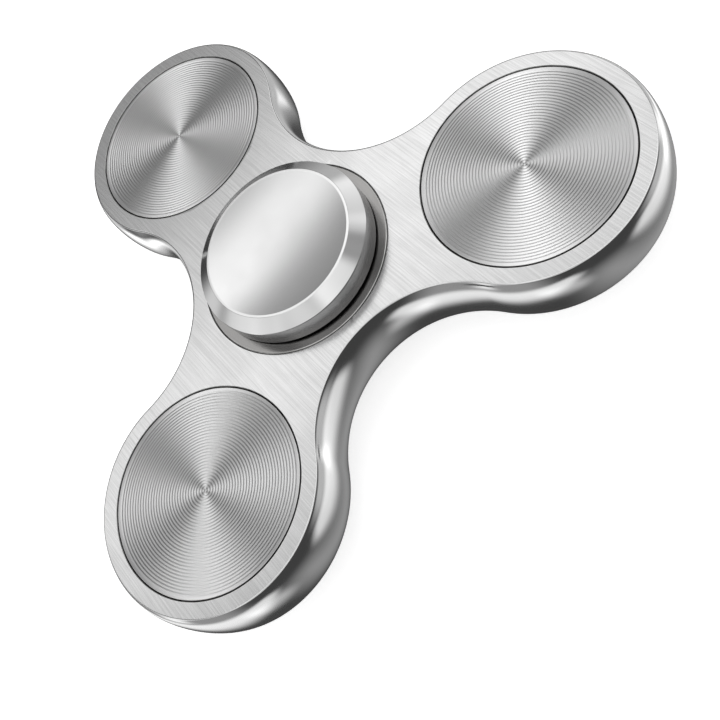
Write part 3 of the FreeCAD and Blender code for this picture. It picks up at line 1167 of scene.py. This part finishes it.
@dataclass
class Studio:
    """Camera, light panels and the pale floor that the spinner lies on."""
    lens: float = 51.54
    camera_place: tuple[float, float, float] = (40.8, -58.95, 86.35)
    camera_aim: tuple[float, float, float] = (5.8, -14.37, 3.5)
    camera_roll: float = -52.3
    clip_start: float = 0.005
    floor_rings: tuple[float, ...] = (0.0, 60.0, 400.0, 3000.0)
    floor_segments: int = 64
    floor_tone: float = 0.93
    floor_glow: float = 0.70
    sky: float = 0.33
    ground: float = 0.07
    sky_rise: tuple[float, float] = (0.6, 0.9)
    softboxes: tuple[Softbox, ...] = (
        Softbox(123, 51.5, 28, 8, 6, 1.15),
        Softbox(90, 59, 9, 5, 5, 0.40),
        Softbox(121, 36, 12, 5, 4, 0.34),
        Softbox(112, 47, 5, 4, 5, 0.41),
        Softbox(125, 82, 30, 15, 5, 1.02),
        Softbox(66, 57, 9, 7, 6, 0.88),
        Softbox(56, 26, 21, 5, 6, 0.95, roll=-37),
        Softbox(-42, 64, 19, 8, 6, 1.14),
        Softbox(-160, 30, 27, 6, 7, 0.98, roll=35),
        Softbox(-108, 51, 18, 9, 8, 0.79),
        Softbox(16, 48, 14, 6, 6, 0.27),
        Softbox(38, -10, 58, 32, 16, 0.61),
        Softbox(30, 0, 8, 44, 6, 0.82),
        Softbox(12, -43, 36, 11, 7, 0.95),
        Softbox(-138, -5, 32, 38, 14, 0.33),
        Softbox(-150, 0, 7, 28, 6, 1.02),
        Softbox(-140, -46, 44, 9, 6, 1.02),
        Softbox(-100, -50, 12, 6, 6, 0.54),
        Softbox(165, -16, 11, 30, 8, 0.82),
        Softbox(0, -72, 42, 14, 16, 0.33),
    )

    def camera(self) -> None:
        """Places the camera and makes it the scene's own."""
        data = bpy.data.cameras.new("studio_camera")
        data.lens = self.lens
        data.sensor_width = 36.0
        data.clip_start = self.clip_start
        made = bpy.data.objects.new("studio_camera", data)
        bpy.context.scene.collection.objects.link(made)
        place, aim = Vector(self.camera_place) * MM, Vector(self.camera_aim) * MM
        back = (place - aim).normalized()
        right = Vector((0, 0, 1)).cross(back).normalized()
        level = Matrix((right, back.cross(right), back)).transposed().to_4x4()
        roll = Matrix.Rotation(math.radians(self.camera_roll), 4, "Z")
        made.matrix_world = Matrix.Translation(place) @ level @ roll
        bpy.context.scene.camera = made

    @staticmethod
    def _panel_mask() -> Group:
        """A light panel's mask for a direction: smooth in both of its sides, nothing behind it.

        Returns:
            The group.
        """
        bench, given = shader_group("light_panel", ["Vector", "Toward", "Wide", "Tall"],
                                    {"Half width": 0.2, "Half height": 0.2, "Feather": 0.1})
        ahead, wide, tall = (
            bench.add("VectorMath", {0: given["Vector"], 1: given[axis]},
                      operation="DOT_PRODUCT").outputs["Value"] for axis in ("Toward", "Wide", "Tall"))
        mask = bench.map_range(ahead, (0.0, 0.05))
        for along, size in ((wide, "Half width"), (tall, "Half height")):
            off = bench.math("ABSOLUTE", bench.math("ARCTAN2", along, ahead))
            past = bench.math("DIVIDE", bench.math("SUBTRACT", off, given[size]), given["Feather"])
            inside = bench.map_range(past, (-1.0, 1.0), (1.0, 0.0), smooth=True)
            mask = bench.math("MULTIPLY", mask, inside)
        return bench.put_out(mask)

    def light(self) -> None:
        """Builds the world: a soft sky over darker ground, with the light panels set in it.

        The camera itself sees a white background.
        """
        world = bpy.data.worlds.new("studio")
        bpy.context.scene.world = world
        world.use_nodes = True
        bench = NodeBench(world.node_tree)
        direction = bench.add("TexCoord").outputs["Generated"]
        rise = bench.add("SeparateXYZ", {0: direction}).outputs["Z"]
        total = bench.map_range(rise, self.sky_rise, (self.ground, self.sky), smooth=True)
        panel = self._panel_mask()
        for box in self.softboxes:
            toward, wide, tall = box.axes()
            mask = bench.add("Group", {
                "Vector": direction, "Toward": toward, "Wide": wide, "Tall": tall,
                "Half width": math.radians(box.half_width), "Half height": math.radians(box.half_height),
                "Feather": math.radians(box.feather)}, node_tree=panel).outputs["Mask"]
            total = bench.math("MULTIPLY_ADD", mask, box.power, total)
        seen = bench.math("MAXIMUM", total, bench.add("LightPath").outputs["Is Camera Ray"])
        back = bench.add("Background", {"Color": WHITE, "Strength": seen})
        bench.add("OutputWorld", {"Surface": back.outputs[0]})

    def floor(self) -> None:
        """Lays the pale floor at the lowest point of the spinner, seen only from above, as staging."""
        level = float(cad_bounds[0][2]) / MM
        rings = Section.sharp(np.array([[radius, level] for radius in self.floor_rings]))
        made = bpy.data.materials.new("pale_floor")
        made.use_nodes = True
        bench = NodeBench(made.node_tree)
        shader = bench.add("BsdfPrincipled", {
            "Base Color": (*[self.floor_tone] * 3, 1.0), "Roughness": 0.9, "Specular IOR Level": 0.1,
            "Emission Color": WHITE, "Emission Strength": self.floor_glow})
        open_below = bench.add("MixShader", {0: bench.add("NewGeometry").outputs["Backfacing"],
                                             1: shader.outputs[0],
                                             2: bench.add("BsdfTransparent").outputs[0]})
        bench.add("OutputMaterial", {"Surface": open_below.outputs[0]})
        sheet = turned_sheet(rings, full_turn(self.floor_segments))
        piece = build_piece("pale_floor", [sheet], [made], "floor")
        piece.data.flip_normals()
        piece.visible_glossy = False

    def build(self) -> None:
        """Sets up the whole studio."""
        bpy.context.scene.view_settings.view_transform = "Standard"
        self.camera()
        self.light()
        self.floor()


def main() -> None:
    """Builds the spinner's sub-assemblies and the studio."""
    finishes = FinishShop()
    SpinnerFrame(finishes).build()
    for lobe in range(1, LOBE_COUNT + 1):
        LobeWeight(finishes, lobe).build()
    for side in Side:
        FingerButton(finishes, side).build()
    JoiningStud(finishes).build()
    BallBearing(finishes).build()
    Studio().build()


if __name__ == "__main__":
    logging.basicConfig(level=logging.INFO, format="%(name)s: %(message)s")
    main()
